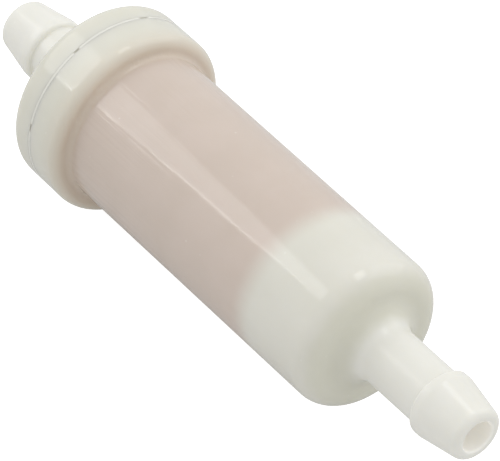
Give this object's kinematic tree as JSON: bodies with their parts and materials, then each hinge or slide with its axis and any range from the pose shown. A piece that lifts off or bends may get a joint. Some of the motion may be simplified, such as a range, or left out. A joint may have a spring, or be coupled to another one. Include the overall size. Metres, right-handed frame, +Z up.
{
  "type": "fuel filter",
  "caption": "In-line fuel filter with a hose barb at each end, a milky translucent nylon canister welded to a flanged end cap, and a pleated paper element inside.",
  "frame": {"origin": "on the filter's axis at mid-length", "axes": "+X along the filter's axis towards the inlet barb, -X towards the outlet barb and the flange, +Z up"},
  "size_m": [0.0946, 0.0264, 0.0264],
  "materials": {
    "natural_nylon": "milky, translucent, glossy as moulded",
    "weld_nylon": "re-melted nylon, slightly darker, uneven",
    "filter_paper": "matte resin-treated paper",
    "seam_glue": "hot-melt glue, satin",
    "core_plastic": "natural nylon, satin",
    "plate_plastic": "natural nylon, satin",
    "potting": "amber adhesive, glossy",
    "seal_rubber": "brown fuel-resistant rubber"
  },
  "bodies": {
    "root": {"canister": "natural_nylon", "end_cap": "natural_nylon", "weld_bead": "weld_nylon", "pleated_paper": "filter_paper", "side_seam": "seam_glue", "core_tube": "core_plastic", "closed_end_disc": "plate_plastic", "potting_closed": "potting", "potting_open": "potting", "open_end_disc": "plate_plastic", "seal_ring": "seal_rubber"}
  },
  "joints": []
}
